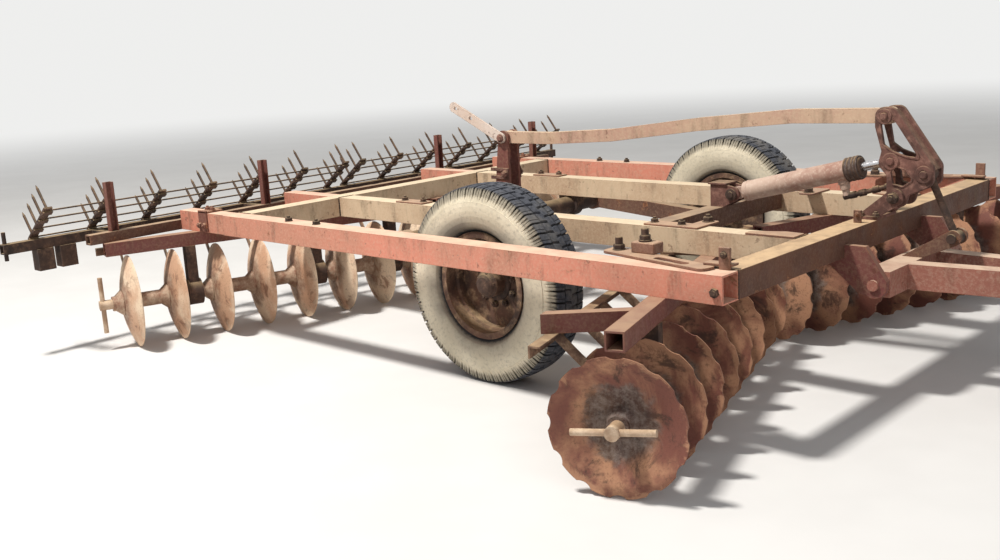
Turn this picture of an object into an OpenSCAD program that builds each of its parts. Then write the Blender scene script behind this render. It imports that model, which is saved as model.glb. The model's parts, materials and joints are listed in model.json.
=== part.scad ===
// Wheeled tandem disc harrow with a self-levelling hitch, parked on its discs, wheels and stand.
// All places are given ahead of the wheel axle (x) and above the ground (z); right is -y.

/* [Main frame] */
// Distance of the frame's front face ahead of the wheel axle
frame_front = 1550; // [1450:10:1650]
// Distance of the rear cross-beam's back face behind the wheel axle
frame_rear = 1890; // [1800:10:1980]
// Height of the beams' top faces above the ground
frame_top = 775; // [765:5:790]
// Depth of the main beams
beam_h = 120; // [110:5:130]
// Width of the main beams
beam_w = 120; // [100:5:130]
// Wall thickness of every square tube
tube_wall = 8; // [5:1:12]
// Centre line of the outer beams from the middle
outer_y = 1440; // [1420:5:1460]
// Centre line of the inner beams from the middle
inner_y = 640; // [620:5:660]
// Centre of the short mid cross-beam ahead of the axle
mid_beam_x = 620; // [560:10:640]
// Width and depth of the mid cross-beam
mid_beam_size = 100; // [80:5:110]

/* [Disc gangs] */
// Angle of each gang to the cross-beams
gang_angle = 18; // [14:1:20]
// Radius of the discs
disc_r = 280; // [270:5:285]
// Thickness of the disc steel
disc_t = 6; // [5:0.5:8]
// Depth of the dished discs
disc_dish = 65; // [50:5:75]
// Number of discs in one gang
disc_count = 8; // [6:1:8]
// Distance from disc to disc along the gang
disc_pitch = 270; // [250:5:275]
// Number of scallops round a front disc
scallop_count = 12; // [8:1:14]
// Radius of one scallop
scallop_r = 60; // [40:5:80]
// Depth of one scallop
scallop_depth = 12; // [6:1:16]
// Radius of the spools between the discs
spool_r = 45; // [38:1:50]
// Radius of the flared end of a spool
spool_flare_r = 78; // [65:1:85]
// Outer disc of each gang from the middle line
gang_outer_y = 1960; // [1940:5:1980]
// Outer front disc ahead of the axle
front_gang_x = 1390; // [1370:5:1410]
// Outer rear disc behind the axle
rear_gang_x = 2360; // [2340:5:2370]
// Width and depth of the gang beams
gang_beam = 80; // [60:5:80]

/* [Wheels and lift axle] */
// Outer radius of the tyres
wheel_r = 510; // [495:5:520]
// Width of the tyres
tyre_w = 260; // [230:5:270]
// Radius of the rim flange
rim_r = 277; // [265:1:285]
// Middle of each wheel from the middle line
wheel_y = 1160; // [1150:5:1170]
// Radius of the lift shaft
shaft_r = 55; // [45:1:58]
// Lift shaft behind the wheel axle
shaft_x = 945; // [925:5:965]
// Height of the lift shaft
shaft_z = 590; // [580:1:592]
// Depth of the wheel arms
arm_h = 100; // [80:5:105]
// Width of the wheel arms
arm_w = 80; // [70:5:85]
// Middle of each wheel arm from the middle line
arm_y = 905; // [890:5:915]
// Radius of the wheel spindles
spindle_r = 32; // [26:1:38]

/* [Lift linkage] */
// Height of the link's pin on the mast
mast_pin_z = 1110; // [1090:5:1130]
// Radius of the linkage pins
pin_r = 16; // [12:1:18]
// Width of the levelling link
link_w = 60; // [50:2:64]
// Depth of the levelling link
link_h = 70; // [60:2:76]
// Thickness of a lever web
web_t = 20; // [14:1:22]
// Radius of the cylinder barrel
barrel_r = 52; // [44:1:54]
// Radius of the cylinder rod
rod_r = 22; // [18:1:26]
// Length of the barrel from its base pin to the gland's face
barrel_l = 715; // [690:5:730]

/* [Drawbar] */
// Height of the drawbar's top face
drawbar_top = 600; // [590:5:610]
// Depth of the drawbar's tubes
drawbar_h = 120; // [100:5:130]
// Width of each drawbar leg
drawbar_w = 90; // [80:5:100]
// Length of the legs ahead of the cross tube
leg_l = 1150; // [1100:10:1200]
// Radius of the hitch pin's bore
hitch_bore_r = 16; // [13:1:20]

/* [Rear tine sections] */
// Carrier bar behind the axle
carrier_x = 2660; // [2650:5:2680]
// Half length of the carrier bar
carrier_half = 2500; // [2450:10:2550]
// Length of a tine above its bar
tine_l = 170; // [140:5:180]
// Radius of a tine
tine_r = 8; // [6:1:10]
// Slope of the stored sections
section_slope = 37; // [30:1:42]
// Slope length of a section
section_l = 330; // [310:5:330]
// Distance from one tine bar to the next
tine_pitch = 370; // [350:5:372]

/* [Hidden] */
$fn = 48;

run_fit = 0.05;
open_pin_gap = 7;
swing_gap = 6;
beam_bottom = frame_top - beam_h;
beam_inner_face = outer_y - beam_w / 2;
gang_beam_len = (disc_count - 1) * disc_pitch;
gang_over = 60;
leg_bays = [1.5, 4.5, 6.5];
seat_gap = 0.3;
tie_x = 2400;
tie_size = 60;
post_t = 40;
carrier_size = 60;
carrier_z = beam_bottom - 10;
section_bar_t = 12;
section_rows = [20, 120, 220, 310];
tine_point_r = 2;
// Foot of the stored sections: they stand on the carrier and lean on the posts
section_x = tie_x + post_t / 2 + seat_gap + section_l * cos(section_slope)
    + section_bar_t / 2 * sin(section_slope);
section_z = carrier_z + carrier_size + seat_gap + section_bar_t / 2 * cos(section_slope);
// Middle of the wheel axle from the part's origin, which is mid-way along the overall length
leg_start_x = frame_front + 200;
hitch_reach = 170;
nose_l = 120;
hitch_pin_x = leg_start_x + leg_l + nose_l / 2 + hitch_reach;
hitch_end_r = 60;
tine_tip_x = section_x - section_rows[0] * cos(section_slope) + tine_l * sin(section_slope)
    + tine_point_r * cos(section_slope);
axle_x = (tine_tip_x - hitch_pin_x - hitch_end_r) / 2;

// Linkage pivots as [ahead of the axle, height]
p_shaft = [-shaft_x, shaft_z];
p_mast = [-shaft_x + 35, mast_pin_z];
p_pivot = [frame_front + 70, frame_top + 110];
p_top = [p_pivot.x - 65, p_pivot.y + 380];
p_rod = [p_pivot.x - 30, p_pivot.y + 169];
p_boss = [p_pivot.x + 130, p_pivot.y + 112];
p_base = [mid_beam_x + 103, frame_top + 71];
p_hinge = [leg_start_x - 60, drawbar_top - drawbar_h / 2];
p_lug = [p_hinge.x + 196, p_hinge.y + 163];

function dist(a, b) = norm([b.x - a.x, b.y - a.y]);
function bearing(a, b) = atan2(b.y - a.y, b.x - a.x);
function along(a, b, l) = a + (b - a) * l / dist(a, b);

// Helpers

// Puts what follows in the frame of the wheel axle
module from_axle() {
    translate([axle_x, 0, 0]) children();
}

// Draws a flat outline given in [x, z] and gives it a width across the machine
module plate_y(y0, t) {
    translate([0, y0 + t, 0]) rotate([90, 0, 0]) linear_extrude(t) children();
}

// Cylinder across the machine, centred on y
module pin_y(p, r, l, y = 0) {
    translate([p.x, y, p.y]) rotate([90, 0, 0]) cylinder(r = r, h = l, center = true);
}

// Square tube along x
module tube_x(x0, x1, y, z0, w, h, wall = tube_wall) {
    translate([x0, y - w / 2, z0]) difference() {
        cube([x1 - x0, w, h]);
        translate([-1, wall, wall]) cube([x1 - x0 + 2, w - 2 * wall, h - 2 * wall]);
    }
}

// Square tube along y
module tube_y(y0, y1, x0, z0, w, h, wall = tube_wall) {
    translate([x0, y0, z0]) difference() {
        cube([w, y1 - y0, h]);
        translate([wall, -1, wall]) cube([w - 2 * wall, y1 - y0 + 2, h - 2 * wall]);
    }
}

// Straight bar between two points of an outline
module flat_bar(a, b, w) {
    translate([a.x, a.y]) rotate(bearing(a, b)) translate([0, -w / 2]) square([dist(a, b), w]);
}

// Bar with round ends, a little wider than the bar so that no edge only grazes another
module strut(a, b, w) {
    translate([a.x, a.y]) circle(w / 2 + 1);
    translate([b.x, b.y]) circle(w / 2 + 1);
    flat_bar(a, b, w);
}

module hole2(p, r) {
    translate([p.x, p.y]) circle(r);
}

module both_sides() {
    children();
    mirror([0, 1, 0]) children();
}

// Frame of a right-hand gang: y runs inward along the gang from its outer disc
module right_gang(front) {
    x = front ? front_gang_x : -rear_gang_x;
    translate([x, -gang_outer_y, disc_r]) rotate([0, 0, front ? gang_angle : -gang_angle])
        children();
}

// Main frame pieces

module outer_beams() {
    from_axle() color("salmon") both_sides()
        tube_x(-frame_rear, frame_front, -outer_y, beam_bottom, beam_w, beam_h);
}

module inner_beams() {
    from_axle() color("tan") both_sides()
        tube_x(-frame_rear + beam_w, frame_front - beam_w, -inner_y, beam_bottom, beam_w, beam_h);
}

module front_crossbeam() {
    from_axle() color("sienna")
        tube_y(-beam_inner_face, beam_inner_face, frame_front - beam_w, beam_bottom,
            beam_w, beam_h);
}

module rear_crossbeam() {
    from_axle() color("tan")
        tube_y(-beam_inner_face, beam_inner_face, -frame_rear, beam_bottom, beam_w, beam_h);
}

module mid_crossbeam() {
    half = inner_y - beam_w / 2;
    from_axle() color("saddlebrown")
        tube_y(-half, half, mid_beam_x - mid_beam_size / 2, frame_top - mid_beam_size,
            mid_beam_size, mid_beam_size);
}

module rear_arms() {
    from_axle() color("indianred") both_sides()
        for (y = [outer_y, inner_y])
            tube_x(-tie_x + tie_size / 2, -frame_rear, -y, beam_bottom, 100, beam_h);
}

module rear_tie_bar() {
    half = 2100;
    from_axle() color("saddlebrown")
        tube_y(-half, half, -tie_x - tie_size / 2, beam_bottom, tie_size, tie_size);
}

// Gang beams, bearing legs and scrapers

module gang_beam_pair(front) {
    from_axle() both_sides() right_gang(front)
        translate([0, 0, beam_bottom - gang_beam - disc_r])
            tube_y(-gang_over, gang_beam_len + gang_over, -gang_beam / 2, 0,
                gang_beam, gang_beam);
}

module gang_beams() {
    color("sienna") {
        gang_beam_pair(true);
        gang_beam_pair(false);
    }
}

leg_t = 60;
leg_w = 90;
housing_r = 80;
housing_l = 90;

function leg_s(front, bay) = bay * disc_pitch + (front ? -1 : 1) * disc_dish / 2;

module bearing_leg_sets(front) {
    top = beam_bottom - gang_beam - disc_r;
    from_axle() both_sides() right_gang(front)
        for (bay = leg_bays) translate([0, leg_s(front, bay), 0]) difference() {
            union() {
                translate([-leg_w / 2, -leg_t / 2, 0]) cube([leg_w, leg_t, top]);
                rotate([90, 0, 0]) cylinder(r = housing_r, h = housing_l, center = true);
            }
            rotate([90, 0, 0])
                cylinder(r = spool_r + run_fit, h = housing_l + 2, center = true);
        }
}

module bearing_legs() {
    color("saddlebrown") {
        bearing_leg_sets(true);
        bearing_leg_sets(false);
    }
}

// Height of a disc's inner edge above its middle, where the scrapers pass it
dish_r = (disc_r * disc_r + disc_dish * disc_dish) / (2 * disc_dish);
disc_edge = dish_r - sqrt((dish_r - disc_t) * (dish_r - disc_t) - disc_r * disc_r);

scraper_x = 325;
scraper_bar = 50;
scraper_t = 8;
scraper_tip = [-170, 120];

module scrapers(front) {
    z0 = beam_bottom - gang_beam - scraper_bar - disc_r;
    sgn = front ? -1 : 1;
    first = front ? 1 : 0;
    last = front ? disc_count - 1 : disc_count - 2;
    bar_l = gang_beam_len + gang_over + (front ? gang_over : -20);
    from_axle() both_sides() right_gang(front) {
        translate([-scraper_x - scraper_bar / 2, -gang_over, z0]) difference() {
            cube([scraper_bar, bar_l, scraper_bar]);
            translate([scraper_t, -1, -1])
                cube([scraper_bar, bar_l + 2, scraper_bar - scraper_t + 1]);
        }
        for (bay = leg_bays)
            translate([-scraper_x - scraper_bar / 2, leg_s(front, bay) - 20, z0 + scraper_bar])
                cube([scraper_x + scraper_bar / 2 - gang_beam / 2, 40, 12]);
        for (k = [first : last])
            translate([0, k * disc_pitch + sgn * (disc_edge + swing_gap + scraper_t / 2), 0])
                rotate([90, 0, 0]) linear_extrude(scraper_t, center = true)
                    flat_bar([-scraper_x - scraper_bar / 2 + 20, z0 + scraper_bar - 24],
                        scraper_tip, 40);
    }
}

module front_scrapers() {
    color("peru") scrapers(true);
}

module rear_scrapers() {
    color("peru") scrapers(false);
}

stay_s = 275;
stay_skew = 136;
stay_w = 60;

// Outline of a stay seen from above, from the gang beam back to the scraper bar
module stay_outline(w) {
    x0 = -gang_beam / 2;
    x1 = -scraper_x - scraper_bar / 2 - 15;
    polygon([[x0, stay_s - stay_w / 2], [x0, stay_s - stay_w / 2 + w],
        [x1, stay_s - stay_skew - stay_w / 2 + w], [x1, stay_s - stay_skew - stay_w / 2]]);
}

module front_stays() {
    from_axle() color("sienna") both_sides() right_gang(true)
        translate([0, 0, beam_bottom - gang_beam - disc_r]) {
            linear_extrude(gang_beam) stay_outline(tube_wall);
            for (z = [0, gang_beam - tube_wall])
                translate([0, 0, z]) linear_extrude(tube_wall) stay_outline(stay_w);
        }
}

// Lift axle bearings and brackets

module shaft_bearings() {
    w = 70;
    r = shaft_r + 22;
    from_axle() color("saddlebrown") both_sides()
        translate([0, -inner_y, 0]) difference() {
            union() {
                pin_y(p_shaft, r, w);
                translate([-shaft_x - r, -w / 2, shaft_z])
                    cube([2 * r, w, beam_bottom - shaft_z]);
            }
            pin_y(p_shaft, shaft_r + run_fit, w + 2);
            // Flat top against the beam
            translate([-shaft_x - r - 1, -w / 2 - 1, beam_bottom])
                cube([2 * r + 2, w + 2, r]);
        }
}

ear_t = 15;
ear_in = link_w / 2 + 5;

module cylinder_bracket() {
    x0 = mid_beam_x - mid_beam_size / 2 + 20;
    x1 = mid_beam_x + mid_beam_size / 2;
    z = frame_top;
    from_axle() color("sienna") {
        both_sides() plate_y(ear_in, ear_t) difference() {
            union() {
                polygon([[x0, z], [x1, z], [p_base.x + 20, p_base.y - 34],
                    [p_base.x, p_base.y + 40], [x0 + 90, z + 120], [x0, z + 120]]);
                hole2(p_base, 40);
            }
        }
        pin_y(p_base, pin_r, 2 * (ear_in + ear_t + 8));
        translate([x0 - 10, -ear_in - ear_t - 10, z + 120])
            cube([110, 2 * (ear_in + ear_t + 10), 8]);
    }
}

lever_in = link_w / 2 + swing_gap + 6;
lever_ear_in = lever_in + web_t + swing_gap;

module lever_bracket() {
    x0 = frame_front - beam_w;
    from_axle() color("sienna") {
        translate([x0, -lever_ear_in - 40, frame_top]) cube([beam_w, 2 * (lever_ear_in + 40), 15]);
        both_sides() plate_y(lever_ear_in, ear_t) union() {
            polygon([[x0 + 10, frame_top + 14], [frame_front, frame_top + 14],
                [p_pivot.x + 30, p_pivot.y - 30], [p_pivot.x - 20, p_pivot.y + 36]]);
            hole2(p_pivot, 42);
        }
        pin_y(p_pivot, pin_r + 2, 2 * (lever_ear_in + ear_t + 8));
    }
}

cross_half = 410;
drawbar_ear_t = 34;

module drawbar_ears() {
    from_axle() color("saddlebrown") both_sides()
        plate_y(cross_half + swing_gap, drawbar_ear_t) difference() {
            union() {
                polygon([[frame_front - beam_w, beam_bottom], [frame_front, beam_bottom],
                    [frame_front, beam_bottom + 60], [p_hinge.x - 40, beam_bottom + 60],
                    [p_hinge.x + 62, p_hinge.y + 20], [p_hinge.x + 30, p_hinge.y - 55],
                    [p_hinge.x - 60, p_hinge.y - 50]]);
                hole2(p_hinge, 62);
            }
            hole2(p_hinge, hinge_pin_r + run_fit);
        }
}

// Rear tine sections in their stored place

section_first_y = 80;
section_bars = 6;
hanger_y = 2120;
hanger_step = 140;
hanger_w = 100;
hanger_h = 130;
post_ys = [section_first_y + 2 * tine_pitch, section_first_y + 5 * tine_pitch];

module harrow_carrier() {
    from_axle() color("saddlebrown") {
        tube_y(-carrier_half, carrier_half, -carrier_x - carrier_size / 2, carrier_z,
            carrier_size, carrier_size);
        both_sides() {
            for (y = post_ys)
                tube_x(-carrier_x + carrier_size / 2, -tie_x - tie_size / 2, -y, beam_bottom,
                    50, 50, 5);
            for (y = [hanger_y, hanger_y + hanger_step])
                translate([-carrier_x - 40, -y - hanger_w / 2, carrier_z - hanger_h])
                    cube([80, hanger_w, hanger_h]);
            translate([-carrier_x, -carrier_half + 20, carrier_z - 40])
                cylinder(r = 12, h = carrier_size + 110);
        }
    }
}

post_h = 295;

module harrow_posts() {
    from_axle() color("brown") both_sides() for (y = post_ys)
        translate([-tie_x - post_t / 2, -y - 25, beam_bottom + tie_size]) difference() {
            cube([post_t, 50, post_h]);
            translate([6, 6, -1]) cube([40, 38, post_h + 2]);
        }
}

module tine_section() {
    translate([-section_x, 0, section_z]) rotate([0, -section_slope, 0]) {
        for (i = [0 : section_bars]) translate([0, -section_first_y - i * tine_pitch, 0]) {
            translate([0, -25, -section_bar_t / 2]) cube([section_l, 50, section_bar_t]);
            for (t = section_rows) translate([t, 0, 0]) {
                cylinder(r = tine_r, h = tine_l - 25);
                translate([0, 0, tine_l - 25]) cylinder(r1 = tine_r, r2 = tine_point_r, h = 25);
            }
        }
        for (t = section_rows)
            translate([t - 12, -section_first_y, 0]) rotate([90, 0, 0])
                cylinder(r = 5, h = section_bars * tine_pitch);
    }
}

module tine_section_right() {
    from_axle() color("saddlebrown") tine_section();
}

module tine_section_left() {
    from_axle() color("saddlebrown") mirror([0, 1, 0]) tine_section();
}

// Turning disc gangs

module disc_outline(scalloped) {
    difference() {
        circle(disc_r, $fn = 96);
        if (scalloped)
            for (i = [0 : scallop_count - 1]) rotate(i * 360 / scallop_count)
                translate([disc_r - scallop_depth + scallop_r, 0]) circle(scallop_r);
    }
}

// One dished disc: its middle is at the origin and it opens toward +z
module disc(scalloped) {
    intersection() {
        translate([0, 0, dish_r]) difference() {
            sphere(dish_r, $fn = 180);
            sphere(dish_r - disc_t, $fn = 180);
        }
        translate([0, 0, -1]) linear_extrude(disc_dish + disc_t + 2) disc_outline(scalloped);
    }
}

flare_l = 40;
gang_end = 55;

module gang(front) {
    right_gang(front) {
        for (k = [0 : disc_count - 1]) translate([0, k * disc_pitch, 0]) {
            rotate([front ? 90 : -90, 0, 0]) disc(front);
            rotate([-90, 0, 0]) cylinder(r1 = spool_flare_r, r2 = spool_r, h = flare_l);
            rotate([90, 0, 0]) cylinder(r1 = spool_flare_r, r2 = spool_r, h = flare_l);
        }
        translate([0, -gang_end, 0]) rotate([-90, 0, 0])
            cylinder(r = spool_r, h = gang_beam_len + 2 * gang_end);
    }
}

module gang_front_right() {
    from_axle() color("chocolate") gang(true);
}

module gang_front_left() {
    from_axle() color("chocolate") mirror([0, 1, 0]) gang(true);
}

module gang_rear_right() {
    from_axle() color("chocolate") gang(false);
}

module gang_rear_left() {
    from_axle() color("chocolate") mirror([0, 1, 0]) gang(false);
}

handle_l = 340;
handle_r = 14;
handle_boss_r = 30;
handle_boss_l = 75;
handle_out = 55;

module gang_handle(front) {
    right_gang(front) translate([0, -gang_end, 0]) {
        rotate([90, 0, 0]) cylinder(r = handle_boss_r, h = handle_boss_l);
        translate([0, -handle_out, 0]) rotate([0, front ? 85 : 0, 0])
            cylinder(r = handle_r, h = handle_l, center = true);
    }
}

module gang_handle_front_right() {
    from_axle() color("tan") gang_handle(true);
}

module gang_handle_front_left() {
    from_axle() color("tan") mirror([0, 1, 0]) gang_handle(true);
}

module gang_handle_rear_right() {
    from_axle() color("tan") gang_handle(false);
}

module gang_handle_rear_left() {
    from_axle() color("tan") mirror([0, 1, 0]) gang_handle(false);
}

// Lift axle pieces

module lift_shaft() {
    half = arm_y + arm_w / 2;
    from_axle() color("saddlebrown") pin_y(p_shaft, shaft_r, 2 * half);
}

module wheel_arms() {
    hub = [0, wheel_r];
    tip = along(p_shaft, hub, dist(p_shaft, hub) + 50);
    from_axle() color("saddlebrown") both_sides() translate([0, -arm_y, 0]) {
        plate_y(-arm_w / 2, arm_w) difference() {
            union() {
                flat_bar(p_shaft, tip, arm_h);
                hole2(p_shaft, shaft_r + 15);
            }
            hole2(p_shaft, shaft_r);
        }
        translate([0, -wheel_y + arm_y - 60, wheel_r]) rotate([-90, 0, 0])
            cylinder(r = spindle_r, h = wheel_y - arm_y + 60);
    }
}

mast_t = 18;

module lift_mast() {
    from_axle() color("brown") {
        both_sides() plate_y(link_w / 2 + swing_gap, mast_t) difference() {
            union() {
                polygon([[p_shaft.x - 75, p_shaft.y], [p_shaft.x + 75, p_shaft.y],
                    [p_mast.x + 38, p_mast.y], [p_mast.x - 38, p_mast.y]]);
                hole2(p_shaft, 85);
                hole2(p_mast, 45);
            }
            hole2(p_shaft, shaft_r);
        }
        pin_y(p_mast, pin_r, link_w + 2 * (swing_gap + mast_t + 6));
    }
}

lock_tip = [-400, 190];

module lock_bar() {
    tip = p_mast + lock_tip;
    y0 = -link_w / 2 - swing_gap - mast_t - 6 - 15;
    from_axle() color("rosybrown") plate_y(y0, 15) difference() {
        strut([p_mast.x, p_mast.y], tip, 62);
        hole2(tip + [20, -9], 13);
        hole2(tip + [150, -71], 13);
    }
}

// Wheels and tyres

module wheel_profile(r0) {
    h = tyre_w / 2;
    polygon([[r0, -h + 42], [rim_r + 1, -h + 42], [rim_r + 30, -h + 8], [rim_r + 110, -h],
        [wheel_r - 60, -h + 6], [wheel_r - 18, -h + 18], [wheel_r, -h + 42],
        [wheel_r, h - 42], [wheel_r - 18, h - 18], [wheel_r - 60, h - 6],
        [rim_r + 110, h], [rim_r + 30, h - 8], [rim_r + 1, h - 42], [r0, h - 42]]);
}

bead_r = rim_r - 23;

module wheel_at(side) {
    translate([0, side * wheel_y, wheel_r]) rotate([side * -90, 0, 0]) children();
}

module tyre(side) {
    from_axle() color("dimgray") wheel_at(side) rotate_extrude($fn = 120) wheel_profile(bead_r);
}

// Rim, dished wheel disc and hub; +z of its frame points outward
module rim(side) {
    w = tyre_w / 2 - 42;
    hub_r = spindle_r + 38;
    from_axle() color("sienna") wheel_at(side) difference() {
        union() {
            rotate_extrude($fn = 120) polygon([
                [bead_r, -w], [rim_r, -w - 1], [rim_r, -w - 12], [bead_r - 8, -w - 12],
                [bead_r - 8, -30], [bead_r - 20, -20], [bead_r - 20, 20], [bead_r - 8, 30],
                [bead_r - 8, w + 12], [rim_r, w + 12], [rim_r, w + 1], [bead_r, w]]);
            translate([0, 0, -30]) cylinder(r = bead_r - 12, h = 10);
            translate([0, 0, -95]) cylinder(r = hub_r, h = 150);
            translate([0, 0, 55]) cylinder(r1 = 45, r2 = 38, h = 25);
        }
        translate([0, 0, -96]) cylinder(r = spindle_r + run_fit, h = 156 + 6);
    }
}

module tyre_right() {
    tyre(-1);
}

module rim_right() {
    rim(-1);
}

module tyre_left() {
    tyre(1);
}

module rim_left() {
    rim(1);
}

// Levelling linkage pieces

module bell_crank() {
    from_axle() color("sienna") {
        both_sides() plate_y(lever_in, web_t) difference() {
            union() {
                strut(p_top, p_rod, 46);
                strut(p_rod, p_pivot, 46);
                strut(p_top, p_boss, 52);
                strut(p_rod, p_boss, 40);
                strut(p_boss, p_pivot, 50);
                hole2(p_rod, 48);
                hole2(p_top, 44);
                hole2(p_boss, 44);
                hole2(p_pivot, 46);
            }
            hole2(p_pivot, pin_r + 2 + run_fit);
        }
        for (p = [p_top, p_rod, p_boss]) pin_y(p, pin_r, 2 * (lever_in + web_t + 4));
    }
}

module levelling_link() {
    h = link_h / 2;
    bends = [[p_mast.x, 0], [-560, 2], [-80, 30], [500, 100], [1060, 148],
        [p_top.x, p_top.y - p_mast.y]];
    z0 = p_mast.y;
    from_axle() color("rosybrown") plate_y(-link_w / 2, link_w) difference() {
        union() {
            polygon(concat(
                [for (b = bends) [b.x, z0 + b.y - h]],
                [for (i = [len(bends) - 1 : -1 : 0]) [bends[i].x, z0 + bends[i].y + h]]));
            hole2(p_mast, h + 5);
            hole2(p_top, h + 5);
        }
        hole2(p_mast, pin_r + run_fit);
        hole2(p_top, pin_r + open_pin_gap);
    }
}

module along_cylinder() {
    translate([p_base.x, 0, p_base.y]) rotate([0, 90 - bearing(p_base, p_rod), 0]) children();
}

module cylinder_barrel() {
    eye_w = link_w - 2;
    from_axle() color("rosybrown") difference() {
        union() {
            along_cylinder() {
                translate([0, 0, 60]) cylinder(r = barrel_r, h = barrel_l - 62);
                translate([0, 0, barrel_l - 75]) cylinder(r = barrel_r + 6, h = 75);
            }
            plate_y(-eye_w / 2, eye_w) difference() {
                union() {
                    flat_bar(p_base, along(p_base, p_rod, 70), eye_w);
                    hole2(p_base, 34);
                }
                hole2(p_base, pin_r + run_fit);
            }
        }
        along_cylinder() translate([0, 0, 90]) cylinder(r = rod_r + run_fit, h = barrel_l);
    }
}

module cylinder_rod() {
    l = dist(p_base, p_rod);
    from_axle() color("silver") difference() {
        union() {
            along_cylinder() translate([0, 0, 140]) cylinder(r = rod_r, h = l - 140 - 20);
            pin_y(p_rod, 38, link_w - 10);
        }
        pin_y(p_rod, pin_r + open_pin_gap, link_w);
    }
}

// Drawbar pieces

hinge_pin_r = 26;
leg_y = 170;
nose_y = 55;
stand_x = leg_start_x + leg_l - 300;
stand_tube = 50;
stand_head_r = 35;
stand_pin_r = 14;
foot = 180;
foot_t = 8;
// Middle of the leg beside the stand, and middle of the stand, from the middle line
stand_leg_y = leg_y - (leg_y - nose_y) * (stand_x - leg_start_x) / leg_l;
stand_y = stand_leg_y + drawbar_w / 2 + 2 * swing_gap + stand_tube / 2;

module drawbar() {
    x1 = leg_start_x;
    z0 = drawbar_top - drawbar_h;
    a = atan2(leg_y - nose_y, leg_l);
    from_axle() color("indianred") {
        translate([x1 - drawbar_h, -cross_half, z0]) cube([drawbar_h, 2 * cross_half, drawbar_h]);
        pin_y(p_hinge, hinge_pin_r, 2 * (cross_half + swing_gap + drawbar_ear_t + 12));
        both_sides() translate([x1 - 20, -leg_y, z0]) rotate([0, 0, a])
            translate([0, -drawbar_w / 2, 0]) cube([leg_l + 20, drawbar_w, drawbar_h]);
        translate([x1 + leg_l - nose_l / 2, -nose_y - drawbar_w / 2 - 10, z0])
            cube([nose_l, 2 * nose_y + drawbar_w + 20, drawbar_h]);
        // Stand's pin with its end washer
        translate([stand_x, -stand_leg_y, p_hinge.y]) rotate([90, 0, 0])
            cylinder(r = stand_pin_r, h = stand_y - stand_leg_y + stand_tube / 2 + 10);
        translate([stand_x, -stand_y - stand_tube / 2 - 2, p_hinge.y]) rotate([90, 0, 0])
            cylinder(r = stand_pin_r + 10, h = 6);
    }
}

module drawbar_lugs() {
    x1 = leg_start_x;
    from_axle() color("sienna") {
        both_sides() plate_y(link_w / 2 + 3, ear_t) union() {
            polygon([[x1 - 100, drawbar_top], [x1, drawbar_top], [p_lug.x + 20, p_lug.y - 32],
                [p_lug.x - 20, p_lug.y + 32]]);
            hole2(p_lug, 38);
        }
        pin_y(p_lug, pin_r - 2, link_w + 2 * (3 + ear_t + 6));
    }
}

module hitch() {
    x0 = leg_start_x + leg_l + nose_l / 2;
    from_axle() color("sienna") for (z = [drawbar_top - 45, drawbar_top - drawbar_h + 20])
        translate([0, 0, z]) difference() {
            union() {
                translate([x0, -hitch_end_r, 0]) cube([hitch_pin_x - x0, 2 * hitch_end_r, 25]);
                translate([hitch_pin_x, 0, 0]) cylinder(r = hitch_end_r, h = 25);
            }
            translate([hitch_pin_x, 0, -1]) cylinder(r = hitch_bore_r, h = 27);
        }
}

module level_rod() {
    w = link_w - 8;
    from_axle() color("saddlebrown") difference() {
        union() {
            translate([p_lug.x, 0, p_lug.y]) rotate([0, 90 - bearing(p_lug, p_boss), 0])
                cylinder(r = 17, h = dist(p_lug, p_boss));
            pin_y(p_lug, 32, w);
            pin_y(p_boss, 36, w);
        }
        pin_y(p_lug, pin_r - 2 + run_fit, w + 2);
        pin_y(p_boss, pin_r + open_pin_gap, w + 2);
    }
}

module parking_stand() {
    yc = -stand_y;
    from_axle() color("sienna") difference() {
        union() {
            translate([stand_x - stand_tube / 2, yc - stand_tube / 2, foot_t])
                cube([stand_tube, stand_tube, p_hinge.y - foot_t]);
            pin_y([stand_x, p_hinge.y], stand_head_r, stand_tube, yc);
            translate([stand_x - foot / 2, yc - foot / 2, 0]) cube([foot, foot, foot_t]);
        }
        pin_y([stand_x, p_hinge.y], stand_pin_r + run_fit, stand_tube + 2, yc);
    }
}

outer_beams();
inner_beams();
front_crossbeam();
rear_crossbeam();
mid_crossbeam();
rear_arms();
rear_tie_bar();
gang_beams();
bearing_legs();
front_scrapers();
rear_scrapers();
front_stays();
shaft_bearings();
cylinder_bracket();
lever_bracket();
drawbar_ears();
harrow_carrier();
harrow_posts();
tine_section_right();
tine_section_left();
gang_front_right();
gang_front_left();
gang_rear_right();
gang_rear_left();
gang_handle_front_right();
gang_handle_front_left();
gang_handle_rear_right();
gang_handle_rear_left();
lift_shaft();
wheel_arms();
lift_mast();
lock_bar();
tyre_right();
rim_right();
tyre_left();
rim_left();
bell_crank();
levelling_link();
cylinder_barrel();
cylinder_rod();
drawbar();
drawbar_lugs();
hitch();
level_rod();
parking_stand();
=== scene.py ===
import json
import math
import random

import bmesh
import bpy
from mathutils import Matrix, Vector


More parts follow.
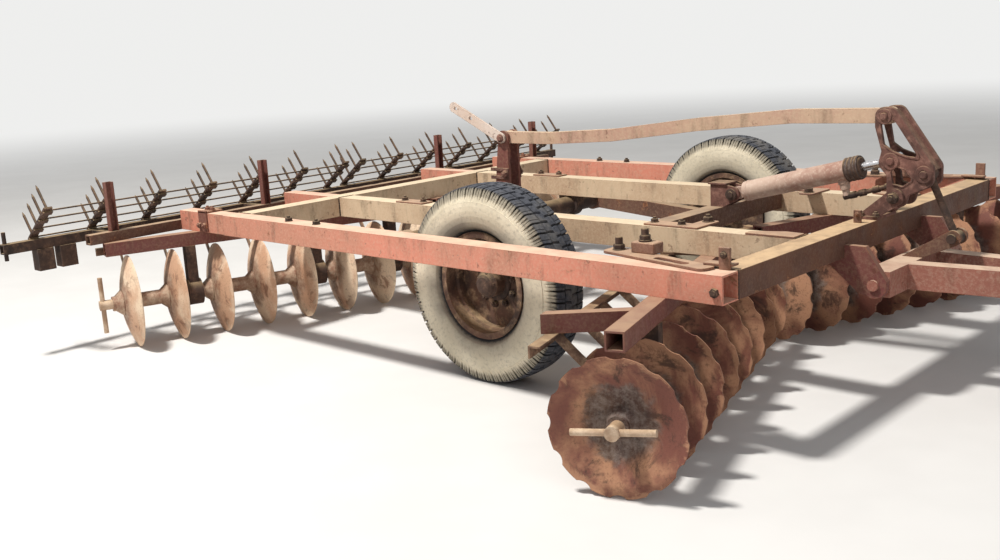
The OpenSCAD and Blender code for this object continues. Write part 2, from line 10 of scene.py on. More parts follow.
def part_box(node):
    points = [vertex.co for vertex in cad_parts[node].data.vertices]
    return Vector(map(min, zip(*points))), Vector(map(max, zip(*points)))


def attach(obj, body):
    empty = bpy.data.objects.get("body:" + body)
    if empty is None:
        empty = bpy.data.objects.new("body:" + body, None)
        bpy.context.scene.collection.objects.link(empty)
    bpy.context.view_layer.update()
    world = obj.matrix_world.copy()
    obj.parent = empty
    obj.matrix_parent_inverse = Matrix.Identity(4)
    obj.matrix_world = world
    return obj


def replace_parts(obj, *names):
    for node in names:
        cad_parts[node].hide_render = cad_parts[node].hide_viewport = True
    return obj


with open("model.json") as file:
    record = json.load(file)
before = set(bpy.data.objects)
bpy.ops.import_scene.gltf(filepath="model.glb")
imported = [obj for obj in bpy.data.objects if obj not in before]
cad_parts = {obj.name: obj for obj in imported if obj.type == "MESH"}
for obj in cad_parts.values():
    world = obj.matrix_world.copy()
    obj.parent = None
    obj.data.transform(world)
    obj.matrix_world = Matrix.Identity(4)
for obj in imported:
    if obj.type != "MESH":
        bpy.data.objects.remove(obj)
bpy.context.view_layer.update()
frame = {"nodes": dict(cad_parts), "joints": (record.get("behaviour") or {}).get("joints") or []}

NODES = frame["nodes"]
SIDES = (-1, 1)
random.seed(7)

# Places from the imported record, in metres

JOINT = {j["name"]: Vector(j["pos_m"]) for j in frame["joints"] if "pos_m" in j}
AXIS = {j["name"]: Vector(j["axis"]) for j in frame["joints"] if "axis" in j}
AXLE_X = JOINT["wheel_right_spin"].x
WHEEL_Y = abs(JOINT["wheel_right_spin"].y)
WHEEL_R = JOINT["wheel_right_spin"].z
LEVER_PIVOT = JOINT["lever_pivot"]
BARREL_PIVOT = JOINT["barrel_pivot"]
CYLINDER_AXIS = AXIS["rod_slide"]


# Camera: fitted to the photograph's edges, tyre and discs, with its place measured from
# the ground under the wheel axle

CAMERA_AHEAD = 3.790
CAMERA_BESIDE = -5.141
CAMERA_HEIGHT = 1.739
CAMERA_YAW = 2.32608751
CAMERA_PITCH = 0.21830
CAMERA_ROLL = 0.0555127
FOCAL_LENGTH_PX = 1103.38
PICTURE_WIDTH_PX = 1000
SENSOR_WIDTH_MM = 36


def place_camera():
    ahead = Vector((math.cos(CAMERA_YAW) * math.cos(CAMERA_PITCH),
                    math.sin(CAMERA_YAW) * math.cos(CAMERA_PITCH), -math.sin(CAMERA_PITCH)))
    level_right = Vector((math.sin(CAMERA_YAW), -math.cos(CAMERA_YAW), 0))
    level_down = ahead.cross(level_right)
    right = level_right * math.cos(CAMERA_ROLL) + level_down * math.sin(CAMERA_ROLL)
    down = level_down * math.cos(CAMERA_ROLL) - level_right * math.sin(CAMERA_ROLL)
    camera = bpy.data.objects.new("camera", bpy.data.cameras.new("camera"))
    bpy.context.scene.collection.objects.link(camera)
    pose = Matrix((right, -down, -ahead)).transposed().to_4x4()
    pose.translation = Vector((AXLE_X + CAMERA_AHEAD, CAMERA_BESIDE, CAMERA_HEIGHT))
    camera.matrix_world = pose
    camera.data.sensor_width = SENSOR_WIDTH_MM
    camera.data.lens = FOCAL_LENGTH_PX / PICTURE_WIDTH_PX * SENSOR_WIDTH_MM
    camera.data.clip_end = 200
    bpy.context.scene.camera = camera


place_camera()


# Material helpers

def screen(red, green, blue):
    """Linear colour of one that is written as a screen shows it."""
    def linear(c):
        return c / 12.92 if c <= 0.04045 else ((c + 0.055) / 1.055) ** 2.4
    return (linear(red), linear(green), linear(blue), 1)


class Graph:
    """A material, with short names for the few node patterns that every material uses."""

    def __init__(self, name):
        self.material = bpy.data.materials.new(name)
        self.material.use_nodes = True
        self.tree = self.material.node_tree
        self.tree.nodes.clear()
        self.output = self.new("ShaderNodeOutputMaterial")
        self.shader = self.new("ShaderNodeBsdfPrincipled")
        self.link(self.shader.outputs[0], self.output.inputs[0])
        coordinates = self.new("ShaderNodeTexCoord")
        self.place = coordinates.outputs["Object"]
        self.facing = coordinates.outputs["Normal"]

    def new(self, kind, **settings):
        node = self.tree.nodes.new(kind)
        for key, value in settings.items():
            setattr(node, key, value)
        return node

    def link(self, output, socket):
        self.tree.links.new(output, socket)

    def feed(self, socket, value):
        """Sets a socket to a plain number or colour, or links another node's output to it."""
        if isinstance(value, (int, float, tuple)):
            socket.default_value = value
        else:
            self.link(value, socket)

    def noise(self, scale, detail, rough=0.6, stretch=None, distortion=0.0):
        node = self.new("ShaderNodeTexNoise")
        node.inputs["Scale"].default_value = scale
        node.inputs["Detail"].default_value = detail
        node.inputs["Roughness"].default_value = rough
        node.inputs["Distortion"].default_value = distortion
        place = self.place
        if stretch:
            mapping = self.new("ShaderNodeMapping")
            mapping.inputs["Scale"].default_value = stretch
            self.link(place, mapping.inputs[0])
            place = mapping.outputs[0]
        self.link(place, node.inputs["Vector"])
        return node.outputs[0]

    def ramp(self, value, start, end, low=0.0, high=1.0):
        """Smooth step from low to high while the value goes from start to end."""
        node = self.new("ShaderNodeMapRange", interpolation_type="SMOOTHSTEP")
        node.inputs["From Min"].default_value = start
        node.inputs["From Max"].default_value = end
        node.inputs["To Min"].default_value = low
        node.inputs["To Max"].default_value = high
        self.link(value, node.inputs["Value"])
        return node.outputs[0]

    def calc(self, operation, first, second=None):
        node = self.new("ShaderNodeMath", operation=operation)
        self.feed(node.inputs[0], first)
        if second is not None:
            self.feed(node.inputs[1], second)
        return node.outputs[0]

    def uneven(self, value, noise, amount):
        """The value, made larger and smaller by as much as the noise differs from its middle."""
        return self.calc("ADD", value, self.calc("MULTIPLY", self.calc("SUBTRACT", noise, 0.5), amount))

    def mix(self, factor, first, second):
        node = self.new("ShaderNodeMix", data_type="RGBA")
        self.feed(node.inputs[0], factor)
        self.feed(node.inputs[6], first)
        self.feed(node.inputs[7], second)
        return node.outputs[2]

    def axis(self, source, which):
        node = self.new("ShaderNodeSeparateXYZ")
        self.link(source, node.inputs[0])
        return node.outputs["XYZ".index(which)]

    def vector(self, operation, first, second=None):
        """Vector math node between an output and another output or a fixed vector."""
        node = self.new("ShaderNodeVectorMath", operation=operation)
        self.link(first, node.inputs[0])
        if isinstance(second, Vector):
            node.inputs[1].default_value = second
        elif second is not None:
            self.link(second, node.inputs[1])
        return node

    def soft_normal(self, radius):
        bevel = self.new("ShaderNodeBevel", samples=4)
        bevel.inputs["Radius"].default_value = radius
        return bevel.outputs[0]

    def edges(self, radius):
        """Mask that is 1 on outer and inner edges, where a rounded normal leaves the true one."""
        flat = self.new("ShaderNodeNewGeometry")
        alike = self.vector("DOT_PRODUCT", self.soft_normal(radius), flat.outputs["Normal"])
        return self.ramp(alike.outputs["Value"], 0.985, 0.90)

    def finish(self, colour, rough, height, strength, distance, round_edges=0.003):
        self.link(colour, self.shader.inputs["Base Color"])
        self.feed(self.shader.inputs["Roughness"], rough)
        bump = self.new("ShaderNodeBump")
        bump.inputs["Strength"].default_value = strength
        bump.inputs["Distance"].default_value = distance
        self.link(height, bump.inputs["Height"])
        if round_edges:
            self.link(self.soft_normal(round_edges), bump.inputs["Normal"])
        self.link(bump.outputs[0], self.shader.inputs["Normal"])
        return self.material


DUST = screen(0.72, 0.62, 0.46)
RUST = screen(0.36, 0.20, 0.13)
RUST_LIGHT = screen(0.60, 0.38, 0.24)
SOIL = screen(0.34, 0.26, 0.19)


def painted(name, base, worn, rust, dust, side_dust, dust_colour):
    """Faded paint: patches of rust and bare primer, chipped edges, and dust on what faces up."""
    net = Graph(name)
    broad = net.noise(2.2, 5, 0.6)
    patches = net.noise(9.0, 8, 0.68, distortion=0.4)
    fine = net.noise(70.0, 6, 0.7)
    grit = net.noise(260.0, 3, 0.6)
    streaks = net.noise(14.0, 5, 0.6, stretch=(1, 1, 0.22))
    blots = net.noise(26.0, 7, 0.72, distortion=0.3)
    colour = net.mix(net.ramp(broad, 0.35, 0.68), base, worn)
    colour = net.mix(net.ramp(fine, 0.50, 0.74, 0, 0.45), colour, worn)
    spread = net.calc("ADD", patches, net.calc("MULTIPLY", fine, 0.35))
    rusty = net.ramp(spread, 0.86 - 0.16 * rust, 0.99 - 0.16 * rust)
    colour = net.mix(rusty, colour, net.mix(net.ramp(fine, 0.35, 0.65), RUST, RUST_LIGHT))
    colour = net.mix(net.ramp(streaks, 0.50, 0.74, 0, 0.5), colour, SOIL)
    colour = net.mix(net.ramp(blots, 0.58, 0.66, 0, 0.6), colour, RUST)
    up = net.axis(net.facing, "Z")
    lying = net.calc("MULTIPLY", net.ramp(up, 0.35, 0.9), net.ramp(patches, 0.30, 0.62, 0.55, 1.0))
    lying = net.calc("MULTIPLY", lying, dust)
    clinging = net.calc("MULTIPLY", net.ramp(fine, 0.42, 0.66), side_dust)
    colour = net.mix(net.calc("MAXIMUM", lying, clinging), colour, dust_colour)
    chipped = net.calc("MULTIPLY", net.edges(0.006), net.ramp(fine, 0.40, 0.56, 0.15, 0.85))
    colour = net.mix(chipped, colour, net.mix(net.ramp(patches, 0.4, 0.6), RUST, RUST_LIGHT))
    rough = net.ramp(patches, 0.3, 0.7, 0.62, 0.9)
    relief = net.calc("ADD", fine, net.calc("MULTIPLY", rusty, -0.5))
    height = net.calc("ADD", net.calc("MULTIPLY", grit, 0.35), relief)
    return net.finish(colour, rough, height, 0.55, 0.0022)


def rusted(name, base, light, dark, dust, scale=1.0):
    """Bare rusted steel with scale, soil and dust on what faces up."""
    net = Graph(name)
    broad = net.noise(3.5 * scale, 6, 0.65, distortion=0.5)
    patches = net.noise(14.0 * scale, 8, 0.7)
    fine = net.noise(95.0 * scale, 6, 0.7)
    colour = net.mix(net.ramp(broad, 0.34, 0.66), dark, base)
    colour = net.mix(net.ramp(patches, 0.45, 0.72, 0, 0.8), colour, light)
    colour = net.mix(net.ramp(fine, 0.5, 0.72, 0, 0.5), colour, dark)
    up = net.axis(net.facing, "Z")
    lying = net.calc("MULTIPLY", net.ramp(up, 0.3, 0.9), dust)
    colour = net.mix(net.calc("MULTIPLY", lying, net.ramp(patches, 0.3, 0.6, 0.5, 1)), colour, DUST)
    rough = net.ramp(broad, 0.35, 0.7, 0.82, 0.92)
    height = net.calc("ADD", fine, net.calc("MULTIPLY", patches, 1.3))
    return net.finish(colour, rough, height, 0.6, 0.0025)


def disc_steel(name, gang, base, light, dark, soil, rim_highlight):
    """Rusted discs: grey scale and soil near the middle, brighter rust further out, and a painted highlight
    along the edge.
    """
    net = Graph(name)
    away = net.vector("SUBTRACT", net.place, JOINT[gang + "_spin"]).outputs[0]
    along = net.vector("DOT_PRODUCT", away, AXIS[gang + "_spin"]).outputs["Value"]
    reach = net.vector("LENGTH", away).outputs["Value"]
    square = net.calc("SUBTRACT", net.calc("MULTIPLY", reach, reach), net.calc("MULTIPLY", along, along))
    radius = net.calc("SQRT", net.calc("MAXIMUM", square, 0.0))
    broad = net.noise(2.6, 6, 0.62, distortion=0.6)
    patches = net.noise(8.5, 8, 0.7, distortion=0.5)
    fine = net.noise(85.0, 6, 0.7)
    colour = net.mix(net.ramp(broad, 0.42, 0.60), base, light)
    colour = net.mix(net.ramp(patches, 0.52, 0.64, 0, 0.8), colour, dark)
    blurred = net.uneven(radius, patches, 0.22)
    middle = net.ramp(blurred, 0.125, 0.175, 0.85, 0)
    colour = net.mix(middle, colour, net.mix(net.ramp(net.noise(22.0, 8, 0.75), 0.36, 0.66), dark, soil))
    colour = net.mix(net.ramp(fine, 0.5, 0.72, 0, 0.45), colour, dark)
    # painted highlight: a band of the light colour along the discs' edge
    colour = net.mix(net.ramp(blurred, 0.262, 0.285, 0, rim_highlight), colour, light)
    net.shader.inputs["Metallic"].default_value = 0.1
    height = net.calc("ADD", fine, net.calc("MULTIPLY", middle, 0.5))
    return net.finish(colour, net.ramp(broad, 0.35, 0.7, 0.62, 0.9), height, 0.6, 0.0025)


def tyre_rubber(name, side):
    """Dark tread with painted shade in its grooves; sidewall and shoulders bleached and caked with pale
    dust.
    """
    net = Graph(name)
    beside = net.calc("ABSOLUTE", net.calc("SUBTRACT", net.axis(net.place, "Y"), side * WHEEL_Y))
    ahead = net.calc("SUBTRACT", net.axis(net.place, "X"), AXLE_X)
    above = net.calc("SUBTRACT", net.axis(net.place, "Z"), WHEEL_R)
    square = net.calc("ADD", net.calc("MULTIPLY", ahead, ahead), net.calc("MULTIPLY", above, above))
    radius = net.calc("SQRT", square)
    broad = net.noise(4.0, 5, 0.6)
    fine = net.noise(60.0, 6, 0.7)
    grit = net.noise(300.0, 2, 0.5)
    tread = net.mix(net.ramp(fine, 0.35, 0.7), screen(0.19, 0.20, 0.23), screen(0.32, 0.33, 0.36))
    tread = net.mix(net.ramp(broad, 0.48, 0.70, 0, 0.45), tread, screen(0.56, 0.53, 0.48))
    # painted shade: the tread is darker at the bottoms of its grooves
    groove_shade = net.ramp(radius, WHEEL_R - 0.016, WHEEL_R - 0.006, 0.85, 0.0)
    tread = net.mix(groove_shade, tread, screen(0.13, 0.12, 0.11))
    wall = net.mix(net.ramp(broad, 0.35, 0.65), screen(0.78, 0.74, 0.65), screen(0.86, 0.82, 0.73))
    wall = net.mix(net.ramp(fine, 0.46, 0.72, 0, 0.6), wall, screen(0.60, 0.57, 0.51))
    worn = net.calc("MULTIPLY", net.ramp(radius, 0.30, 0.40, 1, 0), net.ramp(broad, 0.42, 0.6, 0.35, 1))
    wall = net.mix(worn, wall, screen(0.56, 0.53, 0.48))
    bead = net.ramp(radius, 0.285, 0.325, 0.75, 0.0)
    wall = net.mix(bead, wall, screen(0.34, 0.29, 0.24))
    # painted shade: the side is darker in a band where the grooves cut between the shoulder's ridges
    notch_shade = net.calc("MULTIPLY", net.ramp(beside, 0.112, 0.123, 1, 0), net.ramp(radius, 0.44, 0.47))
    wall = net.mix(net.calc("MULTIPLY", notch_shade, 0.55), wall, screen(0.22, 0.20, 0.18))
    colour = net.mix(net.ramp(net.uneven(beside, fine, 0.02), 0.096, 0.110), tread, wall)
    height = net.calc("ADD", fine, net.calc("MULTIPLY", grit, 0.5))
    return net.finish(colour, 0.85, height, 0.35, 0.0015, 0)


def chrome():
    net = Graph("chrome_rod")
    fine = net.noise(120.0, 4, 0.6)
    colour = net.mix(net.ramp(fine, 0.5, 0.7, 0, 0.25), screen(0.80, 0.80, 0.81), screen(0.62, 0.58, 0.54))
    net.shader.inputs["Metallic"].default_value = 1.0
    return net.finish(colour, net.ramp(fine, 0.4, 0.7, 0.16, 0.34), fine, 0.05, 0.0005)


# Where the black gland begins, from the eye of the cylinder's barrel
GLAND_START = 0.645


def barrel_paint():
    """Faded barrel with a black gland end, told apart by the distance along the cylinder."""
    net = Graph("barrel_paint")
    ahead = net.calc("SUBTRACT", net.axis(net.place, "X"), BARREL_PIVOT.x)
    above = net.calc("SUBTRACT", net.axis(net.place, "Z"), BARREL_PIVOT.z)
    along = net.calc("ADD", net.calc("MULTIPLY", ahead, CYLINDER_AXIS.x),
                   net.calc("MULTIPLY", above, CYLINDER_AXIS.z))
    broad = net.noise(5.0, 6, 0.65)
    fine = net.noise(60.0, 6, 0.7)
    colour = net.mix(net.ramp(broad, 0.35, 0.66), screen(0.74, 0.64, 0.57), screen(0.60, 0.45, 0.39))
    colour = net.mix(net.ramp(fine, 0.48, 0.72, 0, 0.6), colour, screen(0.82, 0.75, 0.68))
    black = net.mix(net.ramp(fine, 0.42, 0.7), screen(0.26, 0.20, 0.18), screen(0.42, 0.36, 0.32))
    border = net.ramp(net.uneven(along, fine, 0.012), GLAND_START - 0.003, GLAND_START + 0.003)
    colour = net.mix(border, colour, black)
    rough = net.ramp(broad, 0.3, 0.7, 0.62, 0.85)
    return net.finish(colour, rough, net.calc("ADD", fine, broad), 0.45, 0.0018)


# Paints as base, worn colour, share of rust, dust on top, dust on the sides, colour of the dust

MATERIAL = {
    "red": painted("red_paint", screen(0.83, 0.52, 0.43), screen(0.74, 0.50, 0.41), 0.42, 0.85, 0.25,
                   screen(0.86, 0.75, 0.65)),
    "tan": painted("tan_paint", screen(0.80, 0.70, 0.58), screen(0.70, 0.58, 0.47), 0.3, 0.85, 0.35,
                   screen(0.86, 0.79, 0.67)),
    "mount": painted("mount_paint", screen(0.50, 0.36, 0.30), screen(0.44, 0.30, 0.24), 0.4, 0.7, 0.2,
                     screen(0.78, 0.66, 0.54)),
    "drawbar": painted("drawbar_paint", screen(0.58, 0.36, 0.30), screen(0.50, 0.32, 0.27), 0.35, 0.85,
                       0.2, screen(0.84, 0.74, 0.64)),
    # front cross-beam: its dark base is partly the beam's rusty brown paint and partly painted shade of its
    # front face
    "ochre": painted("ochre_beam_painted_shade", screen(0.30, 0.18, 0.13), screen(0.40, 0.25, 0.17), 0.5, 0.95, 0.05,
                     screen(0.80, 0.68, 0.53)),
    "brown": painted("brown_paint", screen(0.34, 0.23, 0.19), screen(0.42, 0.29, 0.23), 0.5, 0.75, 0.15,
                     screen(0.72, 0.62, 0.50)),
    "maroon": painted("maroon_paint", screen(0.42, 0.22, 0.20), screen(0.46, 0.29, 0.24), 0.45, 0.75,
                      0.18, screen(0.68, 0.56, 0.45)),
    "faded": painted("faded_paint", screen(0.72, 0.56, 0.49), screen(0.76, 0.64, 0.54), 0.35, 0.7, 0.4,
                     screen(0.80, 0.72, 0.60)),
    "pale": painted("pale_bar", screen(0.86, 0.80, 0.76), screen(0.78, 0.68, 0.61), 0.1, 0.3, 0.3,
                    screen(0.84, 0.79, 0.72)),
    "bar": rusted("rusty_bar", screen(0.80, 0.70, 0.60), screen(0.88, 0.80, 0.70),
                  screen(0.60, 0.48, 0.38), 0.3),
    "scraper": rusted("scraper_bar", screen(0.52, 0.40, 0.32), screen(0.72, 0.60, 0.48),
                      screen(0.28, 0.19, 0.15), 0.4),
    "rim": rusted("rusty_rim", screen(0.42, 0.30, 0.24), screen(0.66, 0.54, 0.42),
                  screen(0.20, 0.14, 0.11), 0.4),
    "lever": rusted("cast_lever", screen(0.46, 0.31, 0.27), screen(0.62, 0.46, 0.40),
                    screen(0.28, 0.18, 0.15), 0.35, scale=1.4),
    "dark": rusted("dark_rust", screen(0.30, 0.22, 0.18), screen(0.46, 0.35, 0.28),
                   screen(0.16, 0.11, 0.09), 0.45),
    "chrome": chrome(),
    "barrel": barrel_paint(),
}

for hand in ("right", "left"):
    # the front discs' base is their steel's colour in shade, so their darker tone against the rear discs is
    # painted shade
    MATERIAL["front_disc_" + hand] = disc_steel(
        "front_disc_" + hand, "front_" + hand, screen(0.46, 0.27, 0.22), screen(0.70, 0.52, 0.40),
        screen(0.22, 0.15, 0.12), screen(0.50, 0.46, 0.43), 0.8)
    MATERIAL["rear_disc_" + hand] = disc_steel(
        "rear_disc_" + hand, "rear_" + hand, screen(0.80, 0.64, 0.52), screen(0.90, 0.81, 0.70),
        screen(0.50, 0.34, 0.26), screen(0.72, 0.64, 0.55), 0.5)

# The tyres are not here, because pieces of their own stand in for them further down
NODE_MATERIAL = {
    "outer_beams": "red", "inner_beams": "tan", "front_crossbeam": "ochre", "rear_crossbeam": "tan",
    "mid_crossbeam": "brown", "rear_arms": "red", "rear_tie_bar": "brown", "gang_beams": "maroon",
    "bearing_legs": "dark", "front_scrapers": "scraper", "rear_scrapers": "scraper",
    "front_stays": "maroon", "shaft_bearings": "dark", "cylinder_bracket": "lever",
    "lever_bracket": "lever", "drawbar_ears": "maroon", "harrow_carrier": "dark",
    "harrow_posts": "maroon", "tine_section_right": "dark", "tine_section_left": "dark",
    "gang_front_right": "front_disc_right", "gang_front_left": "front_disc_left",
    "gang_rear_right": "rear_disc_right", "gang_rear_left": "rear_disc_left",
    "gang_handle_front_right": "bar", "gang_handle_front_left": "bar",
    "gang_handle_rear_right": "bar", "gang_handle_rear_left": "bar",
    "lift_shaft": "dark", "wheel_arms": "brown", "lift_mast": "maroon", "lock_bar": "pale",
    "rim_right": "rim", "rim_left": "rim", "bell_crank": "lever", "levelling_link": "faded",
    "cylinder_barrel": "barrel", "cylinder_rod": "chrome", "drawbar": "drawbar",
    "drawbar_lugs": "brown", "hitch": "brown", "level_rod": "dark", "parking_stand": "brown",
}
for node, key in NODE_MATERIAL.items():
    NODES[node].data.materials.clear()
    NODES[node].data.materials.append(MATERIAL[key])


# Mesh helpers

def new_piece(name, points, faces, material, body, smooth=False):
    mesh = bpy.data.meshes.new(name)
    mesh.from_pydata([tuple(p) for p in points], [], [tuple(f) for f in faces])
    mesh.validate()
    work = bmesh.new()
    work.from_mesh(mesh)
    bmesh.ops.recalc_face_normals(work, faces=work.faces)
    work.to_mesh(mesh)
    work.free()
    mesh.materials.append(material)
    if smooth:
        mesh.shade_smooth()
    piece = bpy.data.objects.new(name, mesh)
    bpy.context.scene.collection.objects.link(piece)
    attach(piece, body)
    return piece


def at(x, y, z):
    """Point given in millimetres ahead of, beside and above the ground under the wheel axle."""
    return Vector((AXLE_X + x / 1000, y / 1000, z / 1000))


def rounded(corners):
    """Closed outline from rows of [across, up, corner radius]."""
    steps = 5
    outline = []
    for i, (x, y, radius) in enumerate(corners):
        corner = Vector((x, y))
        back = (Vector(corners[i - 1][:2]) - corner).normalized()
        ahead = (Vector(corners[(i + 1) % len(corners)][:2]) - corner).normalized()
        half = back.angle(ahead) / 2
        centre = corner + (back + ahead).normalized() * radius / math.sin(half)
        start = corner + back * radius / math.tan(half) - centre
        end = corner + ahead * radius / math.tan(half) - centre
        turn = math.atan2(start.cross(end), start.dot(end))
        for k in range(steps + 1):
            outline.append(centre + Matrix.Rotation(turn * k / steps, 2) @ start)
    return outline


def ring(x, y, radius, sides=32):
    """Circle as a closed outline."""
    return [Vector((x + radius * math.cos(2 * math.pi * i / sides),
                    y + radius * math.sin(2 * math.pi * i / sides))) for i in range(sides)]


def axes_about(axis):
    """Unit vectors along an axis and two ways across it."""
    along = Vector(axis).normalized()
    across = along.orthogonal().normalized()
    return along, across, along.cross(across)


class Heap:
    """Collects simple forms that share a material and a body into one piece."""

    def __init__(self):
        self.points = []
        self.faces = []

    def add(self, points, faces):
        first = len(self.points)
        self.points += [Vector(p) for p in points]
        self.faces += [[i + first for i in f] for f in faces]

    def loft(self, rings):
        """Joins rings of equally many points and closes the first and the last."""
        sides = len(rings[0])
        last = (len(rings) - 1) * sides
        faces = []
        for start in range(0, last, sides):
            for i in range(sides):
                j = (i + 1) % sides
                faces.append([start + i, start + j, start + sides + j, start + sides + i])
        faces.append(list(range(sides))[::-1])
        faces.append([last + i for i in range(sides)])
        self.add([p for points in rings for p in points], faces)

    def prism(self, centre, axis, radius, height, sides=6, chamfer=0.12, turn=0.0):
        """Chamfered prism, such as a nut or a bolt head, standing on centre and pointing along axis."""
        along, across, beside = axes_about(axis)
        foot = Vector(centre)
        angles = [turn + 2 * math.pi * i / sides for i in range(sides)]
        rows = [(1.0, 0.0), (1.0, 1 - chamfer * 1.6), (1 - chamfer, 1.0)]
        self.loft([[foot + (across * math.cos(a) + beside * math.sin(a)) * radius * scale
                    + along * height * share for a in angles] for scale, share in rows])

    def bolt(self, centre, axis, size, stud=True):
        """Washer, hexagon nut and the end of its bolt."""
        along = Vector(axis).normalized()
        foot = Vector(centre)
        washer = size * 0.13
        self.prism(foot, along, size * 0.98, washer, 20, 0.06)
        self.prism(foot + along * washer, along, size * 0.87, size * 0.72, 6, 0.12, random.uniform(0, 1))
        if stud:
            self.prism(foot + along * size * 0.8, along, size * 0.42, size * 0.45, 12, 0.12)

    def turned(self, centre, axis, profile, sides=24):
        """Revolved piece from rows of [distance along the axis, radius]."""
        along, across, beside = axes_about(axis)
        foot = Vector(centre)
        angles = [2 * math.pi * i / sides for i in range(sides)]
        self.loft([[foot + along * distance + (across * math.cos(a) + beside * math.sin(a)) * radius
                    for a in angles] for distance, radius in profile])

    def bead(self, start, end, radius):
        """Weld bead with the ripples of its passes."""
        ripple_length = 0.005
        run = end - start
        steps = max(2, int(run.length / ripple_length))
        rows = []
        for k in range(steps + 1):
            ripple = 1 + 0.18 * math.sin(k * 2.1) + 0.08 * math.sin(k * 5.3)
            rows.append((run.length * k / steps, radius * ripple))
        self.turned(start, run, rows, 7)

    def block(self, low, high, chamfer):
        """Box between two corners with its edges broken."""
        work = bmesh.new()
        bmesh.ops.create_cube(work, size=1.0)
        for v in work.verts:
            v.co = Vector([low[i] + (v.co[i] + 0.5) * (high[i] - low[i]) for i in range(3)])
        bmesh.ops.bevel(work, geom=work.edges[:], offset=chamfer, segments=1, affect="EDGES")
        self.add([v.co.copy() for v in work.verts], [[v.index for v in f.verts] for f in work.faces])
        work.free()

    def side_block(self, side, low, high, chamfer=0.002):
        """Block on one side of the machine, between corners in the millimetres that at() takes."""
        near, far = sorted((side * low[1], side * high[1]))
        self.block(at(low[0], near, low[2]), at(high[0], far, high[2]), chamfer)

    def plate(self, loops, low, high, bevel, upright=True):
        """Flat piece from closed outlines, the first its edge and the rest its holes.

        An upright plate lies in the X-Z plane between y = low and y = high, another one in the
        X-Y plane between z = low and z = high.
        """
        curve = bpy.data.curves.new("outline", "CURVE")
        curve.dimensions = "2D"
        curve.fill_mode = "BOTH"
        curve.extrude = (high - low) / 2 - bevel
        curve.bevel_depth = bevel
        curve.bevel_resolution = 0
        curve.offset = -bevel
        for loop in loops:
            spline = curve.splines.new("POLY")
            spline.points.add(len(loop) - 1)
            for point, (across, up) in zip(spline.points, loop):
                point.co = (across, up, 0, 1)
            spline.use_cyclic_u = True
        carrier = bpy.data.objects.new("outline", curve)
        mesh = bpy.data.meshes.new_from_object(carrier)
        work = bmesh.new()
        work.from_mesh(mesh)
        bmesh.ops.remove_doubles(work, verts=work.verts, dist=1e-5)
        work.verts.index_update()
        middle = (low + high) / 2
        if upright:
            points = [(v.co.x, middle - v.co.z, v.co.y) for v in work.verts]
        else:
            points = [(v.co.x, v.co.y, middle + v.co.z) for v in work.verts]
        self.add(points, [[v.index for v in f.verts] for f in work.faces])
        work.free()
        bpy.data.meshes.remove(mesh)
        bpy.data.objects.remove(carrier)
        bpy.data.curves.remove(curve)

    def side_plate(self, side, corners, low, high, hole=None, slot=None):
        """Flat plate on one side of the machine, with its hole as [ahead, beside, radius], in mm."""
        def outline(rows):
            return rounded([(AXLE_X + x / 1000, side * y / 1000, r / 1000) for x, y, r in rows])

        loops = [outline(corners)]
        if hole:
            loops.append(ring(AXLE_X + hole[0] / 1000, side * hole[1] / 1000, hole[2] / 1000, 20))
        if slot:
            loops.append(outline(slot))
        self.plate(loops, low / 1000, high / 1000, 0.0015, upright=False)

    def done(self, name, material, body, slot, smooth=False):
        return new_piece(name, self.points, self.faces, MATERIAL[material], body, smooth)


# Tyres: shoulder lugs with long grooves, and a broken centre band

PITCHES = 54
GROOVE = 0.014
# Phases of a pitch at which the tyre has points, with the grooves' edges among them
PHASES = [0.0, 0.02, 0.17, 0.19, 0.30, 0.42, 0.44, 0.47, 0.49, 0.62, 0.64, 0.78, 0.80, 0.90]
# Side of the tyre from the bead out, as [distance inward from its widest place, radius]
TYRE_SIDE = [(0.052, 0.256), (0.044, 0.279), (0.030, 0.289), (0.014, 0.306), (0.006, 0.330),
             (0.001, 0.360), (0, 0.385), (0.0015, 0.410), (0.0045, 0.428), (0.0045, 0.4315),
             (0.008, 0.4325), (0.009, 0.438), (0.012, 0.452), (0.017, 0.470), (0.022, 0.485),
             (0.027, 0.496), (0.034, 0.502)]
# Tread on to the middle, as [distance from the middle plane, radius]
TYRE_TREAD = [(0.086, 0.5045), (0.072, 0.506), (0.058, 0.5075), (0.050, 0.508), (0.049, 0.508),
              (0.041, 0.5085), (0.040, 0.5085), (0.028, 0.5095), (0.014, 0.510), (0.001, 0.510)]
# The shoulder's grooves start at this radius, and its side grooves end below this one
SHOULDER_START = 0.440
SIDE_GROOVE_END = 0.497
# The groove round the tyre lies between these distances from the middle plane
BAND_EDGE = 0.0405
LUG_EDGE = 0.0495
# Further out than this, the grooves cut inward as well
SHOULDER_Y = 0.100


def groove_depth(phase, off_middle, radius):
    """Depth cut into the tyre at a phase of a pitch."""
    if radius < SHOULDER_START:
        return 0.0
    if off_middle > LUG_EDGE:
        reach = min(1.0, (radius - SHOULDER_START) / 0.045)
        if 0.02 <= phase <= 0.17:
            return GROOVE * reach
        if 0.44 <= phase <= 0.47:
            return GROOVE * 0.45 * reach
        if 0.64 <= phase <= 0.78 and radius < SIDE_GROOVE_END:
            return GROOVE * 0.35 * reach
        return 0.0
    if off_middle >= BAND_EDGE:
        return GROOVE * 0.85
    shifted = (phase + 0.5) % 1.0
    if 0.64 <= shifted <= 0.78 or shifted <= 0.02:
        return GROOVE * 0.8
    return 0.0


